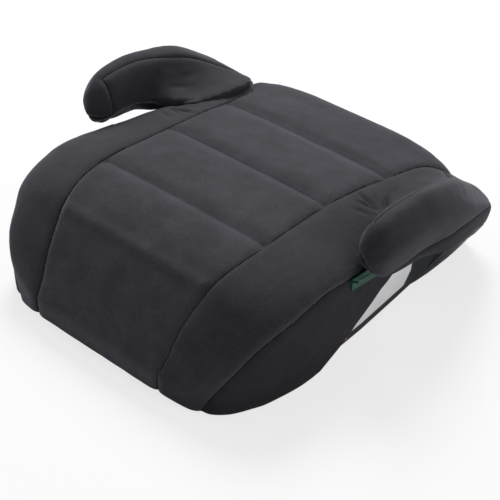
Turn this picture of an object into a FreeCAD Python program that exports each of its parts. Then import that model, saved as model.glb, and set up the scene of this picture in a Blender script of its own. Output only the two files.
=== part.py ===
import FreeCAD, Part
import os

# Backless booster seat. X runs across (right is +X), Y from front (-) to back (+), Z up from the floor.
# Millimetres. The origin is on the floor, under the middle of the seat.

# Overall sizes
OVERALL_WIDTH = 420.0        # across the outsides of the two armrests
OVERALL_DEPTH = 403.0
SEAT_HEIGHT = 122.0          # floor to the highest line of the seat top
ARMREST_HEIGHT = 152.0       # floor to the top of the armrests
ARMREST_THICKNESS = 44.0
ARMREST_OVERHANG = 36.0      # how far an armrest stands out past the seat's side
SIDE_LEAN = 7.0              # each side comes in by this much at the floor

# Layers
COVER_THICKNESS = 2.0
CLEARANCE = 0.3              # between a soft layer and what it lies on
SEAT_FOAM_THICKNESS = 12.4
FRONT_FOAM_THICKNESS = 7.4
FOAM_EDGE_SETBACK = 6.0      # the pad stops this far inside the cover's side
ARMREST_FOAM_THICKNESS = 8.0
SHELL_WALL = 3.0
RIB_THICKNESS = 2.4
RIB_DEPTH = 20.0
RIB_X = (-0.5, 0.0, 0.5)           # ribs that run back, as shares of EDGE_HALF_WIDTH
RIB_Y = (-0.2, 0.0, 0.2, 0.38)     # ribs that run across, as shares of OVERALL_DEPTH
RIB_FRONT = -0.38                  # where the ribs that run back start, as a share of OVERALL_DEPTH

# Cover edges and seams
COVER_LIFT = 2.0             # lower edge of the cover above the floor
ARCH_HEIGHT = 16.0           # raised middle of the front lower edge
ARCH_TOP_HALF_WIDTH = 82.0
ARCH_FOOT_HALF_WIDTH = 122.0
ARCH_RUN = 60.0              # how far back the arch is cut

# Belt guides, one on the shell's side under each armrest tip
GUIDE_LENGTH = 44.0
GUIDE_START = 0.41           # share of the depth, from the front
GUIDE_THICKNESS = 2.5
GUIDE_DROP = 12.0            # how far it hangs down the side
GUIDE_LIP = 9.0              # how far its lip stands out
GUIDE_TILT = 3.0             # how much the lip's edge rises
GUIDE_LEG = 6.0              # each leg goes through the cover to the shell
GUIDE_LEG_PLACES = (0.2, 0.8)

# Labels on the right side of the shell, as (share of the depth, share of SEAT_HEIGHT)
LABEL_THICKNESS = 0.3
WHITE_LABEL = ((0.46, 0.08), (0.68, 0.08), (0.735, 0.36), (0.56, 0.36))
ORANGE_LABEL = ((0.35, 0.03), (0.44, 0.03), (0.455, 0.15), (0.41, 0.12))

# Cover loops and their pegs, inside the back wall of the shell
PEG_RADIUS = 4.0
PEG_LENGTH = 9.0
PEG_HEIGHT = 30.0
PEG_OFFSETS = (-60.0, -20.0, 20.0, 60.0)
LOOP_LENGTH = 30.0
LOOP_BAND = 2.0
LOOP_DEPTH = 5.0

HALF_DEPTH = OVERALL_DEPTH / 2
EDGE_HALF_WIDTH = OVERALL_WIDTH / 2 - ARMREST_OVERHANG
FLOOR_HALF_WIDTH = EDGE_HALF_WIDTH - SIDE_LEAN
SKIN = COVER_THICKNESS + CLEARANCE
DECK_DROP = SKIN + SEAT_FOAM_THICKNESS + CLEARANCE
FRONT_DROP = SKIN + FRONT_FOAM_THICKNESS + CLEARANCE
SIDE_DROP = SKIN + CLEARANCE
BLADE_DROP = SKIN + ARMREST_FOAM_THICKNESS + CLEARANCE
FAR = 2 * max(OVERALL_WIDTH, OVERALL_DEPTH)

# Cross-sections of the seat from front to back, as shares: place along the depth, height of the
# top, height of the side edge (both of SEAT_HEIGHT), half-width (of the widest).
SEAT_SECTIONS = (
    (0.000, 0.28, 0.23, 0.50),
    (0.020, 0.33, 0.28, 0.66),
    (0.043, 0.47, 0.37, 0.79),
    (0.076, 0.64, 0.49, 0.88),
    (0.118, 0.79, 0.59, 0.925),
    (0.153, 0.89, 0.68, 0.96),
    (0.222, 0.975, 0.745, 0.988),
    (0.314, 1.00, 0.80, 1.00),
    (0.490, 0.967, 0.713, 1.00),
    (0.649, 0.91, 0.60, 0.985),
    (0.773, 0.83, 0.55, 0.97),
    (0.922, 0.73, 0.50, 0.94),
    (0.971, 0.68, 0.47, 0.87),
    (1.000, 0.58, 0.40, 0.60),
)

# The crown between the two side edges, on each side of the middle: share of the edge's X with the
# share of the rise reached there, and share of the edge's X with the millimetres under the top.
CROWN_SHOULDER = (0.81, 0.72)
CROWN_TOP = (0.6, 1.5)

# Cross-sections of an armrest from its tip back, as: place along the depth, millimetres that the
# inner and the outer face stand in from their furthest, then shares of ARMREST_HEIGHT for the
# crest, the inner lower edge and the outer lower edge.
ARM_SECTIONS = (
    (0.4256, 14.0, 14.0, 0.81, 0.70, 0.68),
    (0.438, 7.0, 7.0, 0.90, 0.69, 0.59),
    (0.470, 1.0, 2.5, 0.97, 0.71, 0.525),
    (0.520, 0.0, 0.5, 1.00, 0.72, 0.51),
    (0.612, 0.0, 0.0, 0.987, 0.67, 0.50),
    (0.698, 0.0, 0.0, 0.934, 0.59, 0.46),
    (0.780, -6.0, 1.0, 0.842, 0.47, 0.39),
    (0.860, -14.0, 4.0, 0.724, 0.38, 0.31),
    (0.920, -20.0, 9.0, 0.61, 0.31, 0.25),
    (0.962, -24.0, 17.0, 0.51, 0.27, 0.22),
    (0.985, -22.0, 28.0, 0.43, 0.29, 0.26),
)

# Places that an armrest's cross-section passes through, as: share of its width from the inner face,
# the lower edge that the height starts from (0 inner, 1 outer), share of the rise to the crest.
ARM_OUTLINE = (
    (0.00, 0, 0.12),
    (0.12, 0, 0.50),
    (0.34, 0, 0.86),
    (0.70, 0, 1.00),
    (0.97, 0, 0.65),
    (1.00, 1, 0.50),
    (0.88, 1, 0.12),
    (0.66, 1, 0.00),
    (0.20, 0, -0.10),
)
ARM_INSET_LIMIT = 0.8        # share of the way to the middle that an inset may reach

# The outer wall that carries an armrest, as: place along the depth, share of ARMREST_HEIGHT
# that it reaches, millimetres that its top stands in from the armrest's outer face.
FLARE_SECTIONS = (
    (0.745, 0.48, 12.0),
    (0.800, 0.43, 13.0),
    (0.870, 0.36, 17.0),
    (0.950, 0.28, 26.0),
)
FLARE_FOOT = 0.97            # share of FLOOR_HALF_WIDTH where the outer wall meets the floor
FLARE_INSIDE = 0.80          # and where its inner side is
FLARE_LIP = 8.0              # upright edge under the armrest

# Seams, as (share of the depth, share of EDGE_HALF_WIDTH) in plan and as
# (share of the depth, share of SEAT_HEIGHT) in side view.
PANEL_SEAM = ((-0.02, 0.46), (0.08, 0.515), (0.15, 0.557), (0.245, 0.598), (0.314, 0.609),
              (0.54, 0.598), (0.92, 0.575), (1.02, 0.57))
SKIRT_SEAM = ((0.030, -0.05), (0.045, 0.20), (0.072, 0.40), (0.117, 0.578), (0.156, 0.675),
              (0.226, 0.744), (0.314, 0.798), (0.395, 0.76), (0.49, 0.71), (0.62, 0.625))
SKIRT_HEM = ((0.62, 0.46), (0.53, 0.30), (0.45, 0.17), (0.34, 0.05), (0.28, -0.05))
BARE_SIDE = ((0.28, -0.1), (0.93, -0.1), (0.93, 0.44), (0.773, 0.535), (0.649, 0.585))
REAR_SEAM = ((0.93, -0.05), (0.93, 0.42), (0.965, 0.46), (0.985, 0.58), (1.05, 0.66), (1.05, -0.05))
ARM_INNER_SEAM = ((0.40, 0.77), (0.486, 0.745), (0.61, 0.655), (0.70, 0.595), (1.02, 0.40))
ARM_OUTER_SEAM = ((0.40, 0.57), (0.50, 0.60), (0.61, 0.625), (0.70, 0.605), (0.84, 0.53), (1.02, 0.34))
ARM_TOP_SEAM_INSET = 14.0    # from the armrest's inner face to the seam along its top
ARM_TIP_SEAM = 0.480         # where the inner face starts, as a share of the depth


def along(share):
    """Y of a place given as a share of the depth, from the front."""
    return -HALF_DEPTH + share * OVERALL_DEPTH


def seat_section(share, top, edge, width, inset):
    """One closed cross-section of the seat, pulled in by the inset's side, top, front and back."""
    side, drop, front, back, floor = inset
    y = along(share) + front * (1 - share) - back * share
    top_z = SEAT_HEIGHT * top - drop
    edge_z = SEAT_HEIGHT * edge - drop
    lean = SIDE_LEAN * width / (SEAT_HEIGHT * edge)
    edge_x = FLOOR_HALF_WIDTH * width - side + lean * edge_z
    foot_x = FLOOR_HALF_WIDTH * width - side + lean * floor
    shoulder_z = edge_z + CROWN_SHOULDER[1] * (top_z - edge_z)
    shoulder = (CROWN_SHOULDER[0] * edge_x, shoulder_z)
    right = [(edge_x, edge_z), shoulder, (CROWN_TOP[0] * edge_x, top_z - CROWN_TOP[1])]
    left = [(-x, z) for x, z in reversed(right)]
    crown = Part.BSplineCurve()
    crown.interpolate([FreeCAD.Vector(x, y, z) for x, z in right + [(0.0, top_z)] + left])
    corners = [(-edge_x, edge_z), (-foot_x, floor), (foot_x, floor), (edge_x, edge_z)]
    rest = Part.makePolygon([FreeCAD.Vector(x, y, z) for x, z in corners])
    return Part.Wire([crown.toShape()] + rest.Edges)


def seat_body(side=0.0, top=0.0, front=0.0, back=0.0, floor=0.0):
    """The whole seat block without its armrests, pulled in by the given amounts."""
    inset = (side, top, front, back, floor)
    return Part.makeLoft([seat_section(*row, inset) for row in SEAT_SECTIONS], True, True)


def arm_section(share, inside, outside, crest, inner_low, outer_low, inset):
    """One closed cross-section of the right armrest, pulled in by inset."""
    tip_share = ARM_SECTIONS[0][0]
    back_share = ARM_SECTIONS[-1][0]
    towards_back = (share - tip_share) / (back_share - tip_share)
    y = along(share) + inset * (1 - 2 * towards_back)
    outer_x = OVERALL_WIDTH / 2 - outside
    inner_x = OVERALL_WIDTH / 2 - ARMREST_THICKNESS + inside
    width = outer_x - inner_x
    crest_z = ARMREST_HEIGHT * crest
    inner_z = ARMREST_HEIGHT * inner_low
    outer_z = ARMREST_HEIGHT * outer_low
    outline = []
    for across, low_edge, climb in ARM_OUTLINE:
        low_z = (inner_z, outer_z)[low_edge]
        outline.append((inner_x + across * width, low_z + climb * (crest_z - low_z)))
    middle = FreeCAD.Vector((inner_x + outer_x) / 2, y, (crest_z + inner_z + outer_z) / 3)
    points = []
    for x, z in outline:
        point = FreeCAD.Vector(x, y, z)
        inward = middle - point
        reach = max(inward.Length - 1.0, 0.0)
        points.append(point + inward.normalize() * min(inset, ARM_INSET_LIMIT * reach))
    ring = Part.BSplineCurve()
    ring.interpolate(points, PeriodicFlag=True)
    return Part.Wire([ring.toShape()])


def arm_body(inset=0.0):
    """The whole right armrest, pulled in by inset."""
    return Part.makeLoft([arm_section(*row, inset) for row in ARM_SECTIONS], True, False)


def flare_body(inset, floor):
    """The wall under the right armrest, from the floor out to the armrest."""
    wires = []
    for share, reach, back_off in FLARE_SECTIONS:
        first = share == FLARE_SECTIONS[0][0]
        last = share == FLARE_SECTIONS[-1][0]
        y = along(share) + inset * first - inset * last
        top_x = OVERALL_WIDTH / 2 - back_off - inset
        top_z = ARMREST_HEIGHT * reach
        foot_x = FLARE_FOOT * FLOOR_HALF_WIDTH - SIDE_DROP - inset
        inner_x = FLARE_INSIDE * FLOOR_HALF_WIDTH
        corners = [(inner_x, floor), (foot_x, floor), (top_x, top_z - FLARE_LIP - inset),
                   (top_x, top_z - inset), (inner_x, top_z - inset), (inner_x, floor)]
        wires.append(Part.makePolygon([FreeCAD.Vector(x, y, z) for x, z in corners]))
    return Part.makeLoft(wires, True, True)


def unchanged(shape):
    """The same shape, on the right side."""
    return shape


def mirrored(shape):
    """The same shape on the left side."""
    return shape.mirror(FreeCAD.Vector(0, 0, 0), FreeCAD.Vector(1, 0, 0))


def side_region(outline, height, x_low, x_high):
    """A block between two X planes whose outline is given in side view, as shares."""
    corners = [FreeCAD.Vector(x_low, along(share), height * rise) for share, rise in outline]
    face = Part.Face(Part.makePolygon(corners + corners[:1]))
    return face.extrude(FreeCAD.Vector(x_high - x_low, 0, 0))


def plan_region(seam):
    """The full-height block between a seam and its mirror image, given in plan, as shares."""
    right = [FreeCAD.Vector(share_x * EDGE_HALF_WIDTH, along(share_y), -FAR / 2) for share_y, share_x in seam]
    left = [FreeCAD.Vector(-point.x, point.y, point.z) for point in reversed(right)]
    right_edge = Part.BSplineCurve()
    right_edge.interpolate(right)
    left_edge = Part.BSplineCurve()
    left_edge.interpolate(left)
    ends = [Part.makeLine(right[-1], left[0]), Part.makeLine(left[-1], right[0])]
    outline = Part.Wire([right_edge.toShape(), ends[0], left_edge.toShape(), ends[1]])
    return Part.Face(outline).extrude(FreeCAD.Vector(0, 0, FAR))


def front_arch():
    """What is cut away under the middle of the front edge."""
    corners = [(-ARCH_FOOT_HALF_WIDTH, -1.0), (-ARCH_TOP_HALF_WIDTH, ARCH_HEIGHT),
               (ARCH_TOP_HALF_WIDTH, ARCH_HEIGHT), (ARCH_FOOT_HALF_WIDTH, -1.0)]
    points = [FreeCAD.Vector(x, -HALF_DEPTH - 5.0, z) for x, z in corners]
    face = Part.Face(Part.makePolygon(points + points[:1]))
    return face.extrude(FreeCAD.Vector(0, ARCH_RUN, 0))


def block(low, high):
    """An upright box between two corners."""
    size = [top - bottom for bottom, top in zip(low, high)]
    return Part.makeBox(*size, FreeCAD.Vector(*low))


def shell():
    """The moulded body: deck, skirt walls, ribs, pegs, and the two armrest cores."""
    outer = seat_body(SIDE_DROP, DECK_DROP, FRONT_DROP, SIDE_DROP, -1.0)
    hollow = seat_body(SIDE_DROP + SHELL_WALL, DECK_DROP + SHELL_WALL, FRONT_DROP + SHELL_WALL,
                       SIDE_DROP + SHELL_WALL, -2.0)
    core = arm_body(BLADE_DROP)
    pocket = arm_body(BLADE_DROP + SHELL_WALL)
    pocket.translate(FreeCAD.Vector(ARMREST_THICKNESS / 3, 0, 0))
    flare = flare_body(0.0, -1.0)
    flare_hollow = flare_body(SHELL_WALL, -2.0)
    arm = core.cut(pocket)
    body = outer
    for side in (unchanged, mirrored):
        body = body.fuse(side(flare))
    body = body.cut(hollow)
    for side in (unchanged, mirrored):
        body = body.cut(side(flare_hollow))
    for side in (unchanged, mirrored):
        body = body.fuse(side(arm.cut(hollow)))
    body = body.fuse(ribs())
    body = body.fuse(pegs())
    below_floor = block((-FAR, -FAR, -FAR), (FAR, FAR, 0.0))
    return body.cut(front_arch()).cut(below_floor).removeSplitter()


def ribs():
    """Stiffening ribs under the deck, running both ways."""
    band = seat_body(SIDE_DROP + SHELL_WALL / 2, DECK_DROP + SHELL_WALL / 2, FRONT_DROP + SHELL_WALL / 2,
                     SIDE_DROP + SHELL_WALL / 2, -1.0)
    below = seat_body(0.0, DECK_DROP + SHELL_WALL + RIB_DEPTH, 0.0, 0.0, -2.0)
    half = RIB_THICKNESS / 2
    plates = []
    for x in RIB_X:
        middle = x * EDGE_HALF_WIDTH
        plates.append(block((middle - half, RIB_FRONT * OVERALL_DEPTH, 0), (middle + half, FAR, FAR)))
    for y in RIB_Y:
        middle = y * OVERALL_DEPTH
        plates.append(block((-FAR, middle - half, 0), (FAR, middle + half, FAR)))
    grid = plates[0].multiFuse(plates[1:])
    return grid.common(band).cut(below)


def peg_y():
    """Y of the inner face of the shell's back wall."""
    return HALF_DEPTH - SIDE_DROP - SHELL_WALL


def pegs():
    """Pegs inside the back wall, which hold the cover's loops."""
    stems = []
    for x in PEG_OFFSETS:
        foot = FreeCAD.Vector(x, peg_y() + SHELL_WALL / 2, PEG_HEIGHT)
        length = PEG_LENGTH + SHELL_WALL / 2
        stems.append(Part.makeCylinder(PEG_RADIUS, length, foot, FreeCAD.Vector(0, -1, 0)))
    return Part.Compound(stems)


def ring_outline(x, y, half_width, low, high):
    """A flat slab with round ends, standing in the XZ plane."""
    slab = block((x - half_width, y - LOOP_DEPTH, low + half_width), (x + half_width, y, high - half_width))
    rounds = []
    for z in (low + half_width, high - half_width):
        foot = FreeCAD.Vector(x, y, z)
        rounds.append(Part.makeCylinder(half_width, LOOP_DEPTH, foot, FreeCAD.Vector(0, -1, 0)))
    return slab.multiFuse(rounds)


def elastic_loops():
    """Elastic loops over the pegs, which pull the cover's lower edge down."""
    loops = []
    y = peg_y() - CLEARANCE
    high = PEG_HEIGHT + PEG_RADIUS + CLEARANCE + LOOP_BAND
    low = high - LOOP_LENGTH
    half_width = PEG_RADIUS + CLEARANCE + LOOP_BAND
    for x in PEG_OFFSETS:
        outside = ring_outline(x, y, half_width, low, high)
        inside = ring_outline(x, y, half_width - LOOP_BAND, low + LOOP_BAND, high - LOOP_BAND)
        loops.append(outside.cut(inside))
    return Part.Compound(loops)


def seat_foam():
    """The pad on the deck, which also hangs over the front."""
    outer = seat_body(FOAM_EDGE_SETBACK, SKIN, SKIN, FOAM_EDGE_SETBACK, COVER_LIFT + ARCH_HEIGHT)
    carried = seat_body(SIDE_DROP - CLEARANCE, DECK_DROP - CLEARANCE, FRONT_DROP - CLEARANCE,
                        SIDE_DROP - CLEARANCE, -1.0)
    pad = outer.cut(carried)
    return pad.cut(arms(arm_body(0.0))).cut(arms(flare_body(-CLEARANCE, -1.0)))


def edge_at(share):
    """X and Z of the seat's right side edge at a place along the depth."""
    for near, far in zip(SEAT_SECTIONS, SEAT_SECTIONS[1:]):
        if near[0] <= share <= far[0]:
            part = (share - near[0]) / (far[0] - near[0])
            width = near[3] + part * (far[3] - near[3])
            edge = near[2] + part * (far[2] - near[2])
            return EDGE_HALF_WIDTH * width, SEAT_HEIGHT * edge


def guide_place(part):
    """Share of the depth of a place along the belt guide."""
    return GUIDE_START + part * GUIDE_LENGTH / OVERALL_DEPTH


def guide_legs(growth=0.0):
    """The guide's legs, which reach through the cover to the shell's side."""
    legs = []
    for part in GUIDE_LEG_PLACES:
        share = guide_place(part)
        x, z = edge_at(share)
        low = (x - SIDE_DROP - 1.0, along(share) - GUIDE_LEG / 2 - growth, z - 2 * GUIDE_LEG - growth)
        high = (x + CLEARANCE + 1.0, along(share) + GUIDE_LEG / 2 + growth, z - GUIDE_LEG + growth)
        legs.append(block(low, high))
    return Part.Compound(legs)


def belt_guide():
    """The right belt guide: a strip on the seat's side with a lip that stands out over it."""
    wires = []
    for part in (0.0, 1.0):
        share = guide_place(part)
        x, z = edge_at(share)
        inner = x + CLEARANCE
        outer = inner + GUIDE_THICKNESS
        tip = inner + GUIDE_LIP
        top = z - CLEARANCE
        corners = [(inner, top - GUIDE_DROP), (outer, top - GUIDE_DROP), (outer, top - GUIDE_THICKNESS),
                   (tip, top - GUIDE_THICKNESS + GUIDE_TILT), (tip, top + GUIDE_TILT), (inner, top)]
        points = [FreeCAD.Vector(cx, along(share), cz) for cx, cz in corners]
        wires.append(Part.makePolygon(points + points[:1]))
    strip = Part.makeLoft(wires, True, True)
    outer_wall = seat_body(SIDE_DROP, DECK_DROP, FRONT_DROP, SIDE_DROP)
    return strip.fuse(guide_legs().cut(outer_wall)).removeSplitter()


def label(outline):
    """A sticker on the right side of the shell."""
    paper = seat_body(SIDE_DROP - LABEL_THICKNESS, DECK_DROP, FRONT_DROP, SIDE_DROP)
    paper = paper.cut(seat_body(SIDE_DROP, DECK_DROP, FRONT_DROP, SIDE_DROP))
    return paper.common(side_region(outline, SEAT_HEIGHT, 0.0, FAR))


def arms(shape):
    """A right-hand shape together with its left-hand twin."""
    return Part.Compound([shape, mirrored(shape)])


def armrest_foam():
    """Padding round the right armrest core."""
    sleeve = arm_body(SKIN).cut(arm_body(BLADE_DROP - CLEARANCE))
    return sleeve.cut(seat_body(-CLEARANCE, -CLEARANCE)).cut(flare_body(-CLEARANCE, -1.0))


def cover_pieces():
    """Every sewn panel of the cover, as a name and a shape."""
    layer = seat_body(0.0, 0.0, 0.0, 0.0, COVER_LIFT)
    lining = seat_body(COVER_THICKNESS, COVER_THICKNESS, COVER_THICKNESS, COVER_THICKNESS, -1.0)
    layer = layer.cut(lining).cut(front_arch())
    middle = plan_region(PANEL_SEAM)
    rear = side_region(REAR_SEAM, SEAT_HEIGHT, -FAR, FAR)
    skirt = side_region(SKIRT_SEAM + SKIRT_HEM, SEAT_HEIGHT, 0.0, FAR)
    bare = side_region(SKIRT_SEAM[-1:] + SKIRT_HEM + BARE_SIDE, SEAT_HEIGHT, 0.0, FAR)
    arm_outer = arm_body(0.0)
    sleeve = arm_outer.cut(arm_body(COVER_THICKNESS))
    inner_x = OVERALL_WIDTH / 2 - ARMREST_THICKNESS + ARM_TOP_SEAM_INSET
    middle_x = OVERALL_WIDTH / 2 - ARMREST_THICKNESS / 2
    low_inner = side_region(ARM_INNER_SEAM + ((1.02, -0.5), (0.40, -0.5)), ARMREST_HEIGHT, 0.0, middle_x)
    low_outer = side_region(ARM_OUTER_SEAM + ((1.02, -0.5), (0.40, -0.5)), ARMREST_HEIGHT, middle_x, FAR)
    low = low_inner.fuse(low_outer)
    face = block((0.0, along(ARM_TIP_SEAM), 0.0), (inner_x, FAR, FAR)).cut(low)
    seat_outer = seat_body()
    wall = flare_body(-CLEARANCE, -1.0)
    pieces = [("cover_seat_panel", layer.common(middle).cut(rear))]
    pieces.append(("cover_rear_panel", layer.common(rear).cut(arms(arm_outer)).cut(arms(wall))))
    side_layer = layer.cut(middle).cut(rear)
    right_layer = side_layer.common(block((0.0, -FAR, -FAR), (FAR, FAR, FAR)))
    skirt_piece = right_layer.common(skirt).cut(bare).cut(guide_legs(CLEARANCE))
    bolster = right_layer.cut(skirt).cut(bare).cut(arm_body(COVER_THICKNESS)).cut(wall)
    inner_face = sleeve.common(face).cut(seat_outer).cut(wall)
    bolster = bolster.fuse(inner_face).removeSplitter()
    outside = sleeve.cut(seat_outer).cut(wall)
    armrest = outside.cut(low).cut(face)
    hem = outside.common(low)
    for name, shape in (("cover_skirt", skirt_piece), ("cover_bolster", bolster),
                        ("cover_armrest", armrest), ("cover_armrest_hem", hem)):
        pieces.append((name + "_right", shape))
        pieces.append((name + "_left", mirrored(shape)))
    return pieces


def write(name, shape):
    """Write the solids of a shape as one STEP file."""
    solids = [solid for solid in shape.Solids if solid.Volume > 1.0]
    solid_set = solids[0] if len(solids) == 1 else Part.Compound(solids)
    solid_set.exportStep("parts/" + name + ".step")
    print(name, len(solids), round(sum(solid.Volume for solid in solids) / 1000, 1), shape.isValid())


os.makedirs("parts", exist_ok=True)
write("seat_shell", shell())
write("seat_foam", seat_foam())
foam = armrest_foam()
write("armrest_foam_right", foam)
write("armrest_foam_left", mirrored(foam))
write("cover_elastic_loops", elastic_loops())
guide = belt_guide()
write("belt_guide_right", guide)
write("belt_guide_left", mirrored(guide))
write("label_white_right", label(WHITE_LABEL))
write("label_orange_right", label(ORANGE_LABEL))
for piece_name, piece in cover_pieces():
    write(piece_name, piece)
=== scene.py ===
import math
import bmesh
import bpy
import numpy as np
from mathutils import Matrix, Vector, noise
from mathutils.bvhtree import BVHTree
from mathutils.kdtree import KDTree


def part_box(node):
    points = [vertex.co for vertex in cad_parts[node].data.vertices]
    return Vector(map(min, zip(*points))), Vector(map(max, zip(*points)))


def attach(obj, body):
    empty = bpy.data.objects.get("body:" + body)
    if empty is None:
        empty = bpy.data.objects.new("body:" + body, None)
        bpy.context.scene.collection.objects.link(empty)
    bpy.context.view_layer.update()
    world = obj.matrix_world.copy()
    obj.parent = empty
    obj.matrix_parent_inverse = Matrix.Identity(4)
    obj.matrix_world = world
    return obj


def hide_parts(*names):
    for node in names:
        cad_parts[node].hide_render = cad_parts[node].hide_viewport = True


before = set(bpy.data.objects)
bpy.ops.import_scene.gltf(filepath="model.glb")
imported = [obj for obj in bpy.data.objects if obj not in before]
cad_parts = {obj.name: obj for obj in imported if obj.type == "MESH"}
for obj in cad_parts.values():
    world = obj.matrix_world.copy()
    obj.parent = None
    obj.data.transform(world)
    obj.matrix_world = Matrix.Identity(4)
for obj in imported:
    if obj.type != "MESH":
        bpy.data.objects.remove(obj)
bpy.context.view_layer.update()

# Backless booster seat. X runs across (right is +X), Y from front (-) to back (+), Z up from the floor.
# Shapes are worked out in millimetres and turned to metres as each mesh is made.
MM = 0.001


# ---------------------------------------------------------------- sizes, in millimetres

def node_box(name):
    """A node's lowest and highest corners in millimetres."""
    low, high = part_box(name)
    return np.array(low) / MM, np.array(high) / MM


OVERALL_WIDTH = 420.0
DEPTH = 403.0
SEAT_HEIGHT = float(node_box("cover_seat_panel")[1][2])
ARMREST_HEIGHT = 152.0
ARMREST_THICKNESS = 44.0
EDGE_HALF_WIDTH = 174.0      # from the middle out to the seat's side edge
SIDE_LEAN = 7.0              # how far the side's foot stands in from its edge
COVER_LIFT = 2.0             # height of the cover's lower edge over the floor
COVER_THICKNESS = 1.8
WALL_THICKNESS = 2.0
BURIED = 3.5                 # cloth of one form this deep inside the other is dropped
FORM_FOOT = -8.0             # the seat's form runs on down to here before its lower edge is cut

# Sizes of the even squares that the two padded forms are made of
SEAT_SQUARE = 4.0
ARM_SQUARE = 3.2

# Roundness of the seat's crown across: how late it turns down, and how sharply
CROWN_FLAT = 5
CROWN_TURN = 0.54

# Blown-up cloth: frames it is given, and its stiffness, weight and pressure in the simulation's units
BLOW_FRAMES = 20
CLOTH_QUALITY = 4
CLOTH_MASS = 0.3
CLOTH_PRESSURE = 4.0
CLOTH_STRETCH_STIFFNESS = 18.0
CLOTH_BEND_STIFFNESS = 0.6

# Cross-sections of the seat from front to back: place along the depth, height of the top, height of
# the side edge (shares of the seat's height), half-width (share of EDGE_HALF_WIDTH).
SEAT_SECTIONS = (
    (0.000, 0.28, 0.23, 0.50),
    (0.020, 0.33, 0.28, 0.66),
    (0.043, 0.47, 0.37, 0.79),
    (0.076, 0.64, 0.49, 0.88),
    (0.118, 0.79, 0.60, 0.932),
    (0.153, 0.89, 0.70, 0.972),
    (0.222, 0.975, 0.78, 1.005),
    (0.314, 1.00, 0.835, 1.018),
    (0.490, 0.967, 0.715, 1.003),
    (0.649, 0.91, 0.60, 0.985),
    (0.773, 0.83, 0.55, 0.97),
    (0.922, 0.75, 0.49, 0.93),
    (0.965, 0.738, 0.455, 0.84),
    (0.988, 0.72, 0.43, 0.745),
    (1.000, 0.69, 0.42, 0.60),
)

# Cross-sections of an armrest from its tip back: place along the depth, millimetres that the inner
# and outer faces stand in, then crest, inner lower edge and outer lower edge (shares of its height).
ARM_SECTIONS = (
    (0.4256, 13.0, 14.0, 0.83, 0.72, 0.71),
    (0.438, 6.0, 7.0, 0.91, 0.70, 0.64),
    (0.470, 0.0, 2.5, 0.98, 0.71, 0.575),
    (0.520, 0.0, 0.5, 1.005, 0.72, 0.545),
    (0.612, 0.0, 0.0, 0.99, 0.67, 0.515),
    (0.698, 0.0, 0.0, 0.934, 0.59, 0.455),
    (0.780, -6.0, 1.0, 0.84, 0.47, 0.395),
    (0.860, -14.0, 5.5, 0.69, 0.38, 0.345),
    (0.920, -20.0, 11.5, 0.57, 0.31, 0.285),
    (0.962, -24.0, 19.0, 0.47, 0.27, 0.25),
    (0.985, -22.0, 30.0, 0.39, 0.27, 0.245),
)

# Seams and hems of the seat. PANEL_SEAM is in plan, as (share of the depth, share of
# EDGE_HALF_WIDTH); the rest are in side view, as (share of the depth, share of the seat's height).
PANEL_SEAM = ((-0.02, 0.46), (0.08, 0.515), (0.15, 0.557), (0.245, 0.598), (0.314, 0.609),
              (0.54, 0.598), (0.70, 0.612), (0.80, 0.628), (0.87, 0.645), (0.905, 0.67), (0.935, 0.735),
              (0.965, 0.80), (1.02, 0.85))
SKIRT_SEAM = ((0.020, -0.40), (0.030, -0.05), (0.045, 0.20), (0.072, 0.40), (0.117, 0.578), (0.156, 0.675),
              (0.226, 0.744), (0.314, 0.798), (0.395, 0.76), (0.49, 0.71), (0.62, 0.625), (1.02, 0.40))
SKIRT_HEM = ((0.20, -0.20), (0.28, -0.05), (0.34, 0.05), (0.45, 0.17), (0.53, 0.30), (0.62, 0.46),
             (0.66, 0.70))
BARE_TOP = ((0.60, 0.62), (0.649, 0.585), (0.773, 0.535), (0.93, 0.44), (0.95, 0.40))
REAR_SEAM = ((0.90, -0.60), (0.93, -0.05), (0.932, 0.42), (0.965, 0.46), (0.985, 0.58), (1.05, 0.66))

# Seams of an armrest: the top one in plan, as (share of the depth, X), the lower ones in side view, as
# (share of the depth, share of the armrest's height), and the one round its tip as a share of the depth.
ARM_TOP_SEAM = ((0.43, 176.0), (0.50, 178.5), (0.59, 180.0), (0.65, 178.5), (0.72, 173.5), (0.79, 166.5),
                (0.85, 159.0), (0.89, 151.0), (0.925, 138.0), (0.96, 122.0))
ARM_INNER_SEAM = ((0.40, 0.77), (0.486, 0.745), (0.61, 0.655), (0.70, 0.595), (1.02, 0.40))
ARM_OUTER_SEAM = ((0.40, 0.57), (0.50, 0.60), (0.61, 0.625), (0.70, 0.605), (0.84, 0.53), (1.02, 0.34))
ARM_TIP_SEAM = 0.480
ARM_BAND_TURN = (182, 196)   # X between which the band's upper seam crosses from inner to outer level
SWEEP = 44.0                 # how far the bolster takes to sweep up into an armrest

# The shell's bare side, as shares of the depth: where its slanted top begins, and where it ends
BARE_TOP_START = 0.62
BARE_END = 0.93

# Lower front edge, raised in the middle
ARCH_HEIGHT = 11.0
ARCH_TOP_HALF_WIDTH = 82.0
ARCH_FOOT_HALF_WIDTH = 122.0
ARCH_BACK = 0.15

# Sewn channels across the seat panel, as shares of the depth
CHANNELS = (0.314, 0.542, 0.775)
FRONT_FOLD = 0.145

# Elastic loops on the shell's pegs: X of the pegs, width of the band, points round a loop and a band
PEG_OFFSETS = (-60.0, -20.0, 20.0, 60.0)
LOOP_DEPTH = 5.0
LOOP_STEPS = 64
BAND_STEPS = 10


def along(share):
    """Y of a place given as a share of the depth, from the front."""
    return (np.asarray(share, float) - 0.5) * DEPTH


def share_of(y):
    """Share of the depth of a Y."""
    return np.asarray(y, float) / DEPTH + 0.5


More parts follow.
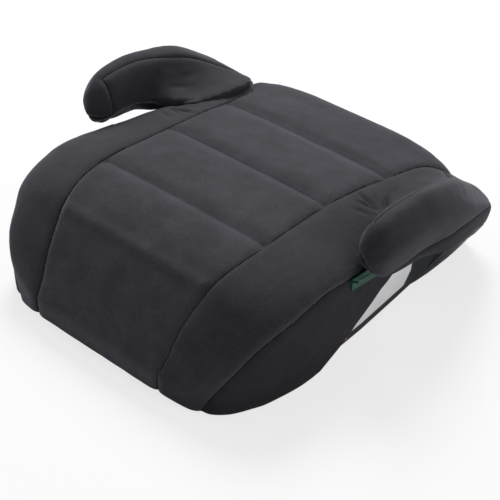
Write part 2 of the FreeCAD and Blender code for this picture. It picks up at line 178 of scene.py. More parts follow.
def through(table, column, at):
    """Smooth curve through one column of a table, which never overshoots its points."""
    rows = np.array(table, float)
    x, y = rows[:, 0], rows[:, column]
    at = np.clip(at, x[0], x[-1])
    step = np.diff(x)
    rise = np.diff(y) / step
    slope = np.zeros_like(y)
    slope[0], slope[-1] = rise[0], rise[-1]
    for i in range(1, len(x) - 1):
        if rise[i - 1] * rise[i] > 0:
            near, far = 2 * step[i] + step[i - 1], step[i] + 2 * step[i - 1]
            slope[i] = (near + far) / (near / rise[i - 1] + far / rise[i])
    i = np.clip(np.searchsorted(x, at) - 1, 0, len(step) - 1)
    t = (at - x[i]) / step[i]
    start = (2 * t**3 - 3 * t**2 + 1) * y[i] + (t**3 - 2 * t**2 + t) * step[i] * slope[i]
    return start + (3 * t**2 - 2 * t**3) * y[i + 1] + (t**3 - t**2) * step[i] * slope[i + 1]


# ---------------------------------------------------------------- the two padded forms

def blend(low, high, value):
    """Smooth step from 0 at low to 1 at high."""
    t = np.clip((value - low) / (high - low), 0, 1)
    return t * t * (3 - 2 * t)


def seat_ring(share):
    """One closed cross-section of the seat: crown, side, floor, side."""
    top, edge, width = (float(through(SEAT_SECTIONS, k, share)) for k in (1, 2, 3))
    top_z, edge_z = top * SEAT_HEIGHT, edge * SEAT_HEIGHT
    edge_x = EDGE_HALF_WIDTH * width
    upright = float(blend(0.16, 0.26, share) * (1 - blend(0.38, 0.52, share)))
    foot_x = (EDGE_HALF_WIDTH - SIDE_LEAN + 2.5 * upright) * width
    turn = np.linspace(0, math.pi, 61)
    x = edge_x * np.cos(turn)
    z = edge_z + (top_z - edge_z) * (1 - np.abs(np.cos(turn)) ** CROWN_FLAT) ** CROWN_TURN
    fall = np.linspace(0, 1, 14)[1:]
    side_z = edge_z + fall * (FORM_FOOT - edge_z)
    side_x = edge_x + fall * (foot_x - edge_x)
    across = np.linspace(-1, 1, 10)[1:-1]
    xs = np.concatenate([x, -side_x, foot_x * across, side_x[::-1]])
    zs = np.concatenate([z, side_z, np.full(len(across), FORM_FOOT), side_z[::-1]])
    return np.column_stack([xs, np.full(len(xs), float(along(share))), zs])


def crown_height(x, share):
    """Height of the seat's crown at an X and a share of the depth."""
    top, edge, width = (through(SEAT_SECTIONS, k, np.clip(share, 0, 1)) for k in (1, 2, 3))
    out = np.clip(np.abs(x) / (width * EDGE_HALF_WIDTH), 0, 1)
    return (edge + (top - edge) * (1 - out ** CROWN_FLAT) ** CROWN_TURN) * SEAT_HEIGHT


def arm_outline(share, side):
    """The places that a cross-section of an armrest passes through, from its inner face over."""
    inside, outside, crest, inner_low, outer_low = (
        float(through(ARM_SECTIONS, k, share)) for k in (1, 2, 3, 4, 5))
    if side < 0:
        outside += 6.0 * float(1 - blend(0.42, 0.50, share))
    outer_x = OVERALL_WIDTH / 2 - outside
    inner_x = OVERALL_WIDTH / 2 - ARMREST_THICKNESS + inside
    width = outer_x - inner_x
    crest_z, inner_z, outer_z = (ARMREST_HEIGHT * k for k in (crest, inner_low, outer_low))
    if side < 0:
        inner_z += 5.0 * float(1 - blend(0.435, 0.52, share))
        outer_z += 6.0 * float(1 - blend(0.463, 0.562, share))
    grown = float(blend(0.575, 0.70, share))
    tuck = 1 - 0.70 * grown
    seam_x = float(through(PANEL_SEAM, 1, share)) * EDGE_HALF_WIDTH
    reach = max(5.0, min(SWEEP, inner_x - seam_x - 3.0))
    foot_x = inner_x - reach * grown
    base = float(crown_height(foot_x, share))
    low = inner_z + grown * (base - inner_z)
    rise, drop = crest_z - low, crest_z - outer_z
    free = [
        (inner_x, low + 0.05 * rise), (inner_x, low + 0.22 * rise),
        (inner_x + 0.30 * width, inner_z - 0.17 * rise), (inner_x + 0.10 * width, inner_z - 0.06 * rise),
    ]
    sewn = [
        (inner_x - 0.54 * reach, float(crown_height(inner_x - 0.54 * reach, share)) + 0.08 * reach),
        (inner_x - 0.17 * reach, base + 0.22 * rise),
        (inner_x - 0.60 * reach, base - 16.0), (foot_x, base - 2.5),
    ]
    mixed = [(a[0] + grown * (b[0] - a[0]), a[1] + grown * (b[1] - a[1])) for a, b in zip(free, sewn)]
    hem = (outer_x - 0.38 * tuck * width, outer_z)
    under = 0.5 - 0.28 * grown
    return np.array([
        mixed[0],
        mixed[1],
        (inner_x + 0.05 * width, low + 0.56 * rise),
        (inner_x + 0.19 * width, low + 0.86 * rise),
        (inner_x + 0.37 * width, low + 0.98 * rise),
        (inner_x + 0.66 * width, crest_z),
        (outer_x - 0.06 * width, crest_z - 0.24 * drop),
        (outer_x, outer_z + 0.60 * drop),
        (outer_x - 0.06 * tuck * width, outer_z + 0.42 * drop),
        (outer_x - 0.15 * tuck * width, outer_z + 0.24 * drop),
        (outer_x - 0.24 * tuck * width, outer_z + 0.08 * drop),
        hem,
        (hem[0] + under * (mixed[2][0] - hem[0]), hem[1] + under * (mixed[2][1] - hem[1])),
        mixed[2],
        mixed[3],
    ])


def closed_curve(points, per_span=5):
    """A smooth closed curve through points."""
    out = []
    count = len(points)
    for i in range(count):
        a, b, c, d = (points[(i + k) % count] for k in (-1, 0, 1, 2))
        for t in np.arange(per_span) / per_span:
            out.append(0.5 * (2 * b + (c - a) * t + (2 * a - 5 * b + 4 * c - d) * t**2
                              + (3 * b - a - 3 * c + d) * t**3))
    return np.array(out)


def arm_set(share, side):
    """How far an armrest's padding sits out and up from its drawn line: each is stuffed by hand."""
    if side > 0:
        return -3.0 * float(blend(0.66, 0.86, share)), 0.0
    return -5.0 * (1 - float(blend(0.43, 0.60, share))), (
        2.5 + 8.0 * float(blend(0.64, 0.86, share)) - 7.0 * float(blend(0.90, 0.96, share)))


def arm_ring(share, side, shrink=1.0, ahead=0.0):
    """One closed cross-section of an armrest; side is 1 on the right and -1 on the left."""
    flat = closed_curve(arm_outline(share, side))
    middle = flat.mean(axis=0)
    flat = middle + (flat - middle) * shrink + np.array(arm_set(share, side))
    return np.column_stack([side * flat[:, 0], np.full(len(flat), float(along(share)) - ahead), flat[:, 1]])


def put(name, data):
    """A new piece, lamp or camera in the scene."""
    thing = bpy.data.objects.new(name, data)
    bpy.context.scene.collection.objects.link(thing)
    return thing


def mesh_from(bm, name):
    """Turn a mesh under construction into a finished one."""
    mesh = bpy.data.meshes.new(name)
    bm.to_mesh(mesh)
    bm.free()
    return mesh


def loft(name, rings):
    """A closed form through cross-sections."""
    bm = bmesh.new()
    rows = [[bm.verts.new(Vector(p) * MM) for p in ring] for ring in rings]
    for near, far in zip(rows, rows[1:]):
        for i in range(len(near)):
            j = (i + 1) % len(near)
            bm.faces.new((near[i], near[j], far[j], far[i]))
    bm.faces.new(rows[0])
    bm.faces.new(rows[-1])
    bmesh.ops.recalc_face_normals(bm, faces=bm.faces)
    return put(name, mesh_from(bm, name))


def settle(thing):
    """Make what the modifiers show the piece's own mesh."""
    graph = bpy.context.evaluated_depsgraph_get()
    mesh = bpy.data.meshes.new_from_object(thing.evaluated_get(graph))
    thing.modifiers.clear()
    thing.data = mesh


def shade_smooth(mesh):
    """Shade a mesh as one rounded surface."""
    mesh.polygons.foreach_set("use_smooth", [True] * len(mesh.polygons))


def thicken(piece, thickness_mm):
    """Give a sheet its thickness, inward, and shade it smooth."""
    thick = piece.modifiers.new("thickness", "SOLIDIFY")
    thick.thickness = thickness_mm * MM
    thick.offset = -1.0
    settle(piece)
    shade_smooth(piece.data)


def even_mesh(thing, size_mm):
    """Remake a form as even squares, then smooth away the steps."""
    remesh = thing.modifiers.new("even", "REMESH")
    remesh.mode = "VOXEL"
    remesh.voxel_size = size_mm * MM
    relax = thing.modifiers.new("relax", "SMOOTH")
    relax.factor = 0.5
    relax.iterations = 4
    settle(thing)


def coords(mesh):
    """A mesh's points in millimetres."""
    flat = np.empty(len(mesh.vertices) * 3)
    mesh.vertices.foreach_get("co", flat)
    return flat.reshape(-1, 3) / MM


def normals(mesh):
    """A mesh's normals at its points."""
    flat = np.empty(len(mesh.vertices) * 3)
    mesh.vertices.foreach_get("normal", flat)
    return flat.reshape(-1, 3)


def place(mesh, points):
    """Move a mesh's points to new places in millimetres."""
    mesh.vertices.foreach_set("co", (points * MM).ravel())
    mesh.update()


def puff(thing, held, slack_mm, cap_mm):
    """Blow the cloth out between its seams; held is 1 where the stitching holds it."""
    mesh = thing.data
    rest = coords(mesh)
    start = rest - normals(mesh) * ((1 - held) * slack_mm)[:, None]
    place(mesh, start)
    group = thing.vertex_groups.new(name="held")
    for i, weight in enumerate(held):
        if weight > 0.02:
            group.add([i], float(weight), "REPLACE")
    cloth = thing.modifiers.new("cloth", "CLOTH")
    cloth.settings.quality = CLOTH_QUALITY
    cloth.settings.mass = CLOTH_MASS
    cloth.settings.use_pressure = True
    cloth.settings.uniform_pressure_force = CLOTH_PRESSURE
    cloth.settings.vertex_group_mass = "held"
    cloth.settings.effector_weights.gravity = 0.0
    cloth.settings.tension_stiffness = CLOTH_STRETCH_STIFFNESS
    cloth.settings.bending_stiffness = CLOTH_BEND_STIFFNESS
    cloth.collision_settings.use_collision = False
    cloth.point_cache.frame_start = 1
    cloth.point_cache.frame_end = BLOW_FRAMES
    for step in range(1, BLOW_FRAMES + 1):
        bpy.context.scene.frame_set(step)
    graph = bpy.context.evaluated_depsgraph_get()
    grown = thing.evaluated_get(graph).to_mesh()
    moved = coords(grown) - start
    thing.evaluated_get(graph).to_mesh_clear()
    thing.modifiers.clear()
    thing.vertex_groups.clear()
    bpy.context.scene.frame_set(1)
    reach = np.linalg.norm(moved, axis=1, keepdims=True)
    moved *= np.minimum(1.0, cap_mm / np.maximum(reach, 1e-6))
    place(mesh, start + moved)


def subdivide(thing):
    """One round of subdivision, applied."""
    finer = thing.modifiers.new("finer", "SUBSURF")
    finer.levels = 1
    finer.render_levels = 1
    settle(thing)


# ---------------------------------------------------------------- seams as signed distances

def panel_line(p):
    """Below zero inside the middle panel."""
    return np.abs(p[:, 0]) - through(PANEL_SEAM, 1, share_of(p[:, 1])) * EDGE_HALF_WIDTH


def lean_line(table, column, height, p):
    """Height above a line given in side view, measured square to the line."""
    share = share_of(p[:, 1])
    level = through(table, column, share) * height
    ahead = through(table, column, share + 0.002) * height
    slope = (ahead - level) / (0.002 * DEPTH)
    return (p[:, 2] - level) / np.sqrt(1 + slope**2)


def skirt_line(p):
    """Above zero over the skirt's seam."""
    return lean_line(SKIRT_SEAM, 1, SEAT_HEIGHT, p)


def bare_line(p):
    """Below zero where the cover stops and the shell's side shows."""
    share = share_of(p[:, 1])
    hem = lean_line(SKIRT_HEM, 1, SEAT_HEIGHT, p)
    top = np.where(share > BARE_TOP_START, lean_line(BARE_TOP, 1, SEAT_HEIGHT, p), -99.0)
    back = (share - BARE_END) * DEPTH
    return np.maximum(np.maximum(hem, top), back)


def rear_line(p):
    """Below zero on the rear panel."""
    return lean_line(REAR_SEAM, 1, SEAT_HEIGHT, p)


def lower_edge(p):
    """Below zero under the cover's lower edge."""
    slant = (ARCH_FOOT_HALF_WIDTH - np.abs(p[:, 0])) / (ARCH_FOOT_HALF_WIDTH - ARCH_TOP_HALF_WIDTH)
    arch = np.clip(slant, 0, 1)
    arch = arch * arch * (3 - 2 * arch) * (ARCH_HEIGHT - COVER_LIFT)
    arch = np.where(share_of(p[:, 1]) < ARCH_BACK, arch, 0.0)
    return p[:, 2] - COVER_LIFT - arch


def arm_low_line(p):
    """Below zero on the armrest's lower band."""
    share = share_of(p[:, 1])
    inner = through(ARM_INNER_SEAM, 1, share)
    outer = through(ARM_OUTER_SEAM, 1, share)
    level = inner + (outer - inner) * blend(*ARM_BAND_TURN, np.abs(p[:, 0]))
    return (p[:, 2] - level * ARMREST_HEIGHT) * 0.95


def arm_face_line(p):
    """Below zero on the armrest's inner face."""
    share = share_of(p[:, 1])
    top = np.abs(p[:, 0]) - through(ARM_TOP_SEAM, 1, share)
    tip = (ARM_TIP_SEAM - share) * DEPTH
    return np.maximum(top, tip)


def depth_inside(skin, p):
    """How deep in millimetres each point lies inside a closed form, below zero outside it."""
    deep = np.full(len(p), -99.0)
    for i, spot in enumerate(p):
        near, facing, _, reach = skin.find_nearest(Vector(spot) * MM, 40 * MM)
        if near is not None:
            deep[i] = (near - Vector(spot) * MM).dot(facing) / MM
    return deep


# ---------------------------------------------------------------- cutting a form along its seams

def cut_along(bm, line):
    """Put edges exactly where a signed distance is zero."""
    bm.verts.ensure_lookup_table()
    points = np.array([v.co for v in bm.verts]) / MM
    value = line(points)
    value[np.abs(value) < 1e-4] = 0.0
    bm.verts.index_update()
    ends = np.array([(e.verts[0].index, e.verts[1].index) for e in bm.edges])
    crossing = np.nonzero(value[ends[:, 0]] * value[ends[:, 1]] < 0)[0]
    bm.edges.ensure_lookup_table()
    for k in crossing:
        a, b = ends[k]
        if value[a] * value[b] >= 0:
            continue
        t = value[a] / (value[a] - value[b])
        if t < 0.22 or t > 0.78:
            near = a if t < 0.5 else b
            spot = bm.verts[a].co.lerp(bm.verts[b].co, t)
            bm.verts[near].co = spot
            value[near] = 0.0
    on_line = {bm.verts[i] for i in np.nonzero(value == 0)[0]}
    split = [bm.edges[k] for k in crossing if value[ends[k][0]] * value[ends[k][1]] < 0]
    for edge in split:
        a, b = edge.verts
        t = value[a.index] / (value[a.index] - value[b.index])
        made = bmesh.utils.edge_split(edge, a, t)[1]
        on_line.add(made)
    faces = {f for v in on_line for f in v.link_faces}
    for face in faces:
        marks = [i for i, v in enumerate(face.verts) if v in on_line]
        if len(marks) < 2:
            continue
        count = len(face.verts)
        pair = next(((i, j) for i in marks for j in marks
                     if i < j and 1 < j - i < count - 1), None)
        if pair is not None:
            verts = list(face.verts)
            bmesh.utils.face_split(face, verts[pair[0]], verts[pair[1]])


def sort_faces(bm, sort):
    """Number of the panel that each face belongs to."""
    middles = np.array([f.calc_center_median() for f in bm.faces]) / MM
    return sort(middles)


def seat_sort(p):
    """0 dropped, 1 middle panel, 2 rear, 3 and 4 skirts, 5 and 6 bolsters; right is the odd one."""
    panel, skirt, bare, rear = panel_line(p) < 0, skirt_line(p) < 0, bare_line(p) < 0, rear_line(p) < 0
    right = p[:, 0] > 0
    kind = np.where(right, 5, 6)
    kind = np.where(skirt, np.where(right, 3, 4), kind)
    kind = np.where(panel, 1, kind)
    kind = np.where(rear, 2, kind)
    kind = np.where(bare & ~rear & ~panel, 0, kind)
    near_arm = (np.abs(p[:, 0]) > 100) & (share_of(p[:, 1]) > 0.5)
    for skin in ARM_SKINS:
        kind[near_arm] = np.where(depth_inside(skin, p[near_arm]) > BURIED, 0, kind[near_arm])
    return np.where(lower_edge(p) < 0, 0, kind)


def arm_sort(p):
    """0 dropped, 1 inner face, 2 top and outside, 3 lower band."""
    buried = depth_inside(SEAT_SKIN, p) > BURIED
    kind = np.where(arm_face_line(p) < 0, 1, 2)
    kind = np.where(arm_low_line(p) < 0, 3, kind)
    return np.where(buried, 0, kind)


def line_distance(points, spots):
    """Distance in millimetres from each point to the nearest of some spots."""
    tree = KDTree(len(spots))
    for i, spot in enumerate(spots):
        tree.insert(spot, i)
    tree.balance()
    return np.array([tree.find(p)[2] for p in points])


def segment_distance(points, a, b):
    """Distance from each point to a straight run, and how far along it as a share."""
    a, b = np.array(a, float), np.array(b, float)
    run = b - a
    t = np.clip(((points - a) @ run) / (run @ run), 0, 1)
    return np.linalg.norm(points - (a + t[:, None] * run), axis=1), t


def rough(points, size_mm, shift):
    """Soft noise, the same each run, one value a point, for the slight unevenness of stuffed cloth."""
    return np.array([noise.noise(Vector(p) / size_mm + Vector((shift, 0, 0))) for p in points])


# Small gathers where an armrest grows out of the bolster, given on the right and mirrored on the left:
# the two ends in plan (X, Y), depth, width.
GATHERS = (
    ((112, 57), (136, 52), 3.2, 2.6),
    ((120, 45), (138, 51), 2.6, 2.6),
    ((133, 78), (142, 61), 3.2, 2.8),
    ((122, 31), (140, 38), 1.5, 3.0),
    ((120, 70), (137, 58), 1.2, 3.4),
    ((150, 92), (158, 70), 1.3, 3.0),
    ((162, 40), (168, 66), 1.2, 3.5),
)


def gathered(points):
    """How far the small gathers sink the cloth, measured in plan."""
    flat = np.column_stack([np.abs(points[:, 0]), points[:, 1]])
    sink = np.zeros(len(points))
    for a, b, depth, width in GATHERS:
        gap, t = segment_distance(flat, a, b)
        sink += depth * np.sin(np.clip(t, 0.06, 0.94) * math.pi) ** 0.5 * np.exp(-(gap / width) ** 2)
    return sink * blend(80, 90, points[:, 2])


def seat_relief(points, seam_gap):
    """How far the stitched cover sinks or rises along its normal, in millimetres."""
    inside = -panel_line(points)
    sink = -1.7 * np.exp(-seam_gap / 1.7) - 1.3 * np.exp(-(seam_gap / 6.0) ** 2)
    for channel in CHANNELS:
        bow = 2.0 * np.cos(points[:, 0] / EDGE_HALF_WIDTH * 1.4)
        gap = np.abs(points[:, 1] - along(channel) - bow + 2.0)
        across = blend(-0.5, 1.5, inside) * blend(60, 70, points[:, 2])
        sink -= across * (1.6 * np.exp(-gap / 1.8) + 2.9 * np.exp(-(gap / 9.0) ** 2))
    fold = np.abs(points[:, 1] - along(FRONT_FOLD))
    sink += blend(0, 8, inside) * 1.9 * np.exp(-(fold / 6.0) ** 2) * blend(55, 70, points[:, 2])
    sink -= gathered(points)
    uneven = 0.45 * rough(points, 34.0, 3.0) + 0.22 * rough(points, 13.0, 9.0)
    return sink + uneven * blend(2, 14, seam_gap)


def arm_relief(points, seam_gap):
    """The same for an armrest."""
    sink = -1.6 * np.exp(-seam_gap / 1.7) - 1.0 * np.exp(-(seam_gap / 5.0) ** 2)
    sink -= gathered(points)
    uneven = 0.5 * rough(points, 30.0, 5.0) + 0.2 * rough(points, 11.0, 7.0)
    return sink + uneven * blend(2, 12, seam_gap)


def panels_of(thing, lines, sort, relief):
    """Cut a form along its seams, sink them, and return each panel's mesh by number."""
    bm = bmesh.new()
    bm.from_mesh(thing.data)
    for line in lines:
        cut_along(bm, line)
    kinds = sort_faces(bm, sort)
    bm.faces.ensure_lookup_table()
    bm.faces.index_update()
    seam = []
    for edge in bm.edges:
        if len(edge.link_faces) == 2:
            a, b = (kinds[f.index] for f in edge.link_faces)
            if a != b and a * b > 0:
                seam.append((edge.verts[0].co + edge.verts[1].co) / 2 / MM)
                seam.append(edge.verts[0].co / MM)
    bm.verts.index_update()
    bm.normal_update()
    points = np.array([v.co for v in bm.verts]) / MM
    facing = np.array([v.normal for v in bm.verts])
    gap = line_distance(points, seam)
    points += facing * relief(points, gap)[:, None]
    for vert, spot in zip(bm.verts, points):
        vert.co = Vector(spot) * MM
    found = {}
    for kind in sorted(set(kinds.tolist()) - {0}):
        piece = bm.copy()
        piece.faces.ensure_lookup_table()
        away = [f for f, k in zip(piece.faces, kinds) if k != kind]
        bmesh.ops.delete(piece, geom=away, context="FACES")
        found[kind] = mesh_from(piece, "panel")
    bm.free()
    bpy.data.objects.remove(thing)
    return found


def joined(meshes):
    """One mesh out of several."""
    bm = bmesh.new()
    for mesh in meshes:
        bm.from_mesh(mesh)
    return mesh_from(bm, "panel")


# ---------------------------------------------------------------- materials

# Where a Mix node set to colours keeps its two colours and its result
MIX_FIRST, MIX_SECOND, MIX_RESULT = 6, 7, 2
WAVE_RATE = 20               # radians that the wave texture turns over a metre at a scale of 1


def linear(code):
    """Linear colour of an sRGB hex value."""
    parts = [int(code[i:i + 2], 16) / 255 for i in (1, 3, 5)]
    return (*(c / 12.92 if c <= 0.04045 else ((c + 0.055) / 1.055) ** 2.4 for c in parts), 1.0)


def add(tree, kind, inputs=None, **settings):
    """Add one node with its settings, and its inputs as values or as links."""
    made = tree.nodes.new(kind)
    for name, value in settings.items():
        setattr(made, name, value)
    for name, value in (inputs or {}).items():
        if isinstance(value, bpy.types.NodeSocket):
            tree.links.new(value, made.inputs[name])
        else:
            made.inputs[name].default_value = value
    return made


def new_finish(name):
    """An empty material with its output, as (material, tree, output)."""
    made = bpy.data.materials.new(name)
    made.use_nodes = True
    made.node_tree.nodes.clear()
    return made, made.node_tree, add(made.node_tree, "ShaderNodeOutputMaterial")


def two_tone(tree, factor, first, second):
    """A colour that runs from one sRGB hex value to another by a factor."""
    return add(tree, "ShaderNodeMix", {"Factor": factor, MIX_FIRST: linear(first),
                                       MIX_SECOND: linear(second)}, data_type="RGBA").outputs[MIX_RESULT]


def thread_scale(mm):
    """Wave texture scale at which one thread is this wide."""
    return 2 * math.pi / (WAVE_RATE * mm * MM)


def woven_polyester(name, deep, pale, thread_mm, sheen, rough_value):
    """Woven polyester laminated to foam: fine threads both ways, matt, a soft pale bloom at a slant."""
    made, tree, output = new_finish(name)
    where = add(tree, "ShaderNodeTexCoord").outputs["Object"]
    facing = add(tree, "ShaderNodeNewGeometry").outputs["Normal"]
    flat = add(tree, "ShaderNodeVectorMath", {0: facing}, operation="ABSOLUTE").outputs[0]
    side = add(tree, "ShaderNodeSeparateXYZ", {0: flat})
    wave = {}
    for axis in "XYZ":
        wave[axis] = add(tree, "ShaderNodeTexWave", {"Vector": where, "Scale": thread_scale(thread_mm),
                         "Distortion": 0.6, "Detail": 1.0, "Detail Scale": 0.4},
                         bands_direction=axis).outputs["Fac"]
    cross = {}
    for a, b in ("XY", "YZ", "XZ"):
        cross[a + b] = add(tree, "ShaderNodeMath", {0: wave[a], 1: wave[b]}, operation="MULTIPLY").outputs[0]
    by_x = add(tree, "ShaderNodeMapRange", {"Value": side.outputs["X"], "From Min": 0.5, "From Max": 0.75})
    by_z = add(tree, "ShaderNodeMapRange", {"Value": side.outputs["Z"], "From Min": 0.45, "From Max": 0.7})
    upright = add(tree, "ShaderNodeMix", {"Factor": by_x.outputs[0], "A": cross["XZ"], "B": cross["YZ"]})
    weave = add(tree, "ShaderNodeMix", {"Factor": by_z.outputs[0], "A": upright.outputs[0],
                                        "B": cross["XY"]}).outputs[0]
    blotch = add(tree, "ShaderNodeTexNoise", {"Vector": where, "Scale": 1 / (26 * MM), "Detail": 4.0,
                                              "Roughness": 0.6}).outputs["Fac"]
    fleck = add(tree, "ShaderNodeTexNoise", {"Vector": where, "Scale": 1 / (2.0 * MM), "Detail": 2.0,
                                             "Roughness": 0.7}).outputs["Fac"]
    mottle = add(tree, "ShaderNodeMath", {0: blotch, 1: fleck}, operation="ADD").outputs[0]
    mottle = add(tree, "ShaderNodeMapRange", {"Value": mottle, "From Min": 0.7, "From Max": 1.3,
                                              "To Min": -0.42, "To Max": 0.42}).outputs[0]
    amount = add(tree, "ShaderNodeMath", {0: weave, 1: mottle}, operation="ADD").outputs[0]
    shade = add(tree, "ShaderNodeMapRange", {"Value": amount, "From Min": -0.1, "From Max": 0.8}).outputs[0]
    colour = two_tone(tree, shade, deep, pale)
    bump = add(tree, "ShaderNodeBump", {"Height": weave, "Strength": 0.35, "Distance": 0.25 * MM})
    fine = add(tree, "ShaderNodeBump", {"Height": fleck, "Strength": 0.25, "Distance": 0.2 * MM,
                                        "Normal": bump.outputs[0]})
    body = add(tree, "ShaderNodeBsdfPrincipled", {
        "Base Color": colour, "Roughness": rough_value, "Specular IOR Level": 0.25,
        "Sheen Weight": sheen, "Sheen Roughness": 0.45, "Sheen Tint": linear("#b9b8c4"),
        "Normal": fine.outputs[0]})
    tree.links.new(body.outputs[0], output.inputs[0])
    return made


def moulded_polypropylene(name, colour, grain_mm, gloss):
    """Injection-moulded polypropylene: fine spark-eroded grain, low soft gloss."""
    made, tree, output = new_finish(name)
    where = add(tree, "ShaderNodeTexCoord").outputs["Object"]
    grain = add(tree, "ShaderNodeTexVoronoi", {"Vector": where, "Scale": 1 / (grain_mm * MM)}).outputs[0]
    haze = add(tree, "ShaderNodeTexNoise", {"Vector": where, "Scale": 1 / (18 * MM),
                                            "Detail": 3.0}).outputs["Fac"]
    roughness = add(tree, "ShaderNodeMapRange", {"Value": haze, "From Min": 0.3, "From Max": 0.7,
                                                 "To Min": gloss - 0.06, "To Max": gloss + 0.08}).outputs[0]
    bump = add(tree, "ShaderNodeBump", {"Height": grain, "Strength": 0.3, "Distance": 0.08 * MM})
    body = add(tree, "ShaderNodeBsdfPrincipled", {
        "Base Color": linear(colour), "Roughness": roughness, "IOR": 1.49, "Normal": bump.outputs[0]})
    tree.links.new(body.outputs[0], output.inputs[0])
    return made


def printed_film(name, colour, shade):
    """Printed polypropylene film, smooth with a slight ripple where it is stuck down."""
    made, tree, output = new_finish(name)
    where = add(tree, "ShaderNodeTexCoord").outputs["Object"]
    ripple = add(tree, "ShaderNodeTexNoise", {"Vector": where, "Scale": 1 / (14 * MM),
                                              "Detail": 2.0}).outputs["Fac"]
    tone = two_tone(tree, ripple, colour, shade)
    bump = add(tree, "ShaderNodeBump", {"Height": ripple, "Strength": 0.2, "Distance": 0.4 * MM})
    body = add(tree, "ShaderNodeBsdfPrincipled", {
        "Base Color": tone, "Roughness": 0.38, "IOR": 1.49, "Normal": bump.outputs[0]})
    tree.links.new(body.outputs[0], output.inputs[0])
    return made


def knitted_elastic(name, colour):
    """Knitted elastic band: close ribs across its width, dull."""
    made, tree, output = new_finish(name)
    where = add(tree, "ShaderNodeTexCoord").outputs["Object"]
    ribs = add(tree, "ShaderNodeTexWave", {"Vector": where, "Scale": thread_scale(1.0), "Distortion": 0.4},
               bands_direction="DIAGONAL").outputs["Fac"]
    bump = add(tree, "ShaderNodeBump", {"Height": ribs, "Strength": 0.6, "Distance": 0.3 * MM})
    body = add(tree, "ShaderNodeBsdfPrincipled", {
        "Base Color": linear(colour), "Roughness": 0.85, "Sheen Weight": 0.2, "Normal": bump.outputs[0]})
    tree.links.new(body.outputs[0], output.inputs[0])
    return made


# Charcoal weave of the middle panel: the palest cloth, matt, with a faint bloom where it turns away.
COVER_CLOTH = woven_polyester("woven_polyester_cover", "#252429", "#3c3b42", 1.3, 0.30, 0.84)
# The same weave on the edge rolls and armrests, made a little darker as painted shade for the light that
# falls less on them.
ROLL_CLOTH_PAINTED_SHADE = woven_polyester("woven_polyester_edge_roll_painted_shade", "#201f24", "#333238", 1.3, 0.28, 0.84)
# Near-black weave of the skirts, the rear and the armrest bands, duller: partly its own darker cloth and
# partly painted shade for these low, turned-away parts.
SKIRT_CLOTH_WITH_PAINTED_SHADE = woven_polyester("woven_polyester_skirt_with_painted_shade", "#151519", "#26262c", 1.3, 0.18, 0.88)
# Near-black plastic with a soft low shine along its edges.
SHELL_PLASTIC = moulded_polypropylene("moulded_polypropylene_black", "#24262b", 0.9, 0.48)
# Deep green plastic, a touch glossier than the shell.
GUIDE_PLASTIC = moulded_polypropylene("moulded_polypropylene_green", "#0d4433", 0.8, 0.42)
# Plain white and pale orange film, smooth and slightly rippled.
WHITE_FILM = printed_film("printed_film_white", "#f6f6f6", "#e9e9eb")
ORANGE_FILM = printed_film("printed_film_orange", "#d88a66", "#cf8060")
# Dull black ribbed band.
ELASTIC = knitted_elastic("knitted_elastic_black", "#202022")


# ---------------------------------------------------------------- sewing the pieces

def sewn_piece(name, mesh, cloth, replaced):
    """A panel of the cover with its thickness, its cloth and its place in the frame."""
    piece = put(name, mesh)
    mesh.materials.clear()
    mesh.materials.append(cloth)
    thicken(piece, COVER_THICKNESS)
    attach(piece, "root")
    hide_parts(*replaced)


def skin_of(thing):
    """A form's surface, for asking how deep a point lies in it."""
    graph = bpy.context.evaluated_depsgraph_get()
    return BVHTree.FromObject(thing, graph)


seat = loft("seat_form", [seat_ring(s) for s in np.concatenate([
    np.linspace(0, 0.03, 7)[:-1], np.linspace(0.03, 0.97, 70), np.linspace(0.97, 1, 7)[1:]])])
even_mesh(seat, SEAT_SQUARE)
points = coords(seat.data)
stitched = np.minimum(np.abs(panel_line(points)), np.abs(skirt_line(points)) + 4)
stitched = np.minimum(stitched, np.abs(rear_line(points)) + 4)
for channel in CHANNELS:
    row = np.abs(points[:, 1] - along(channel)) + 60 * (panel_line(points) > 0) + 60 * (points[:, 2] < 60)
    stitched = np.minimum(stitched, row)
held = 1 - blend(1.5, 9, stitched)
held = np.maximum(held, 1 - blend(6, 26, points[:, 2]))
held = np.maximum(held, blend(0.52, 0.60, share_of(points[:, 1])) * blend(112, 124, np.abs(points[:, 0])))
puff(seat, held, 0.6, 3.8)
subdivide(seat)
SEAT_SKIN = skin_of(seat)

arms = {}
for side, hand in ((1, "right"), (-1, "left")):
    tip = ARM_SECTIONS[0][0]
    rings = [arm_ring(tip, side, 0.45, 2.2), arm_ring(tip, side, 0.8, 1.4)]
    rings += [arm_ring(s, side) for s in np.concatenate([
        np.linspace(tip, 0.48, 12)[:-1], np.linspace(0.48, 0.985, 44)])]
    arm = loft("armrest_form_" + hand, rings)
    even_mesh(arm, ARM_SQUARE)
    points = coords(arm.data)
    stitched = np.minimum(np.abs(arm_low_line(points)), np.abs(arm_face_line(points)))
    held = 1 - blend(1.5, 8, stitched)
    held = np.maximum(held, blend(-14, -6, depth_inside(SEAT_SKIN, points)))
    puff(arm, held, 0.5, 2.4)
    subdivide(arm)
    arms[hand] = arm
ARM_SKINS = [skin_of(arm) for arm in arms.values()]

seat_panels = panels_of(seat, (panel_line, skirt_line, bare_line, rear_line, lower_edge), seat_sort,
                        seat_relief)
arm_panels = {hand: panels_of(arm, (arm_low_line, arm_face_line), arm_sort, arm_relief)
              for hand, arm in arms.items()}

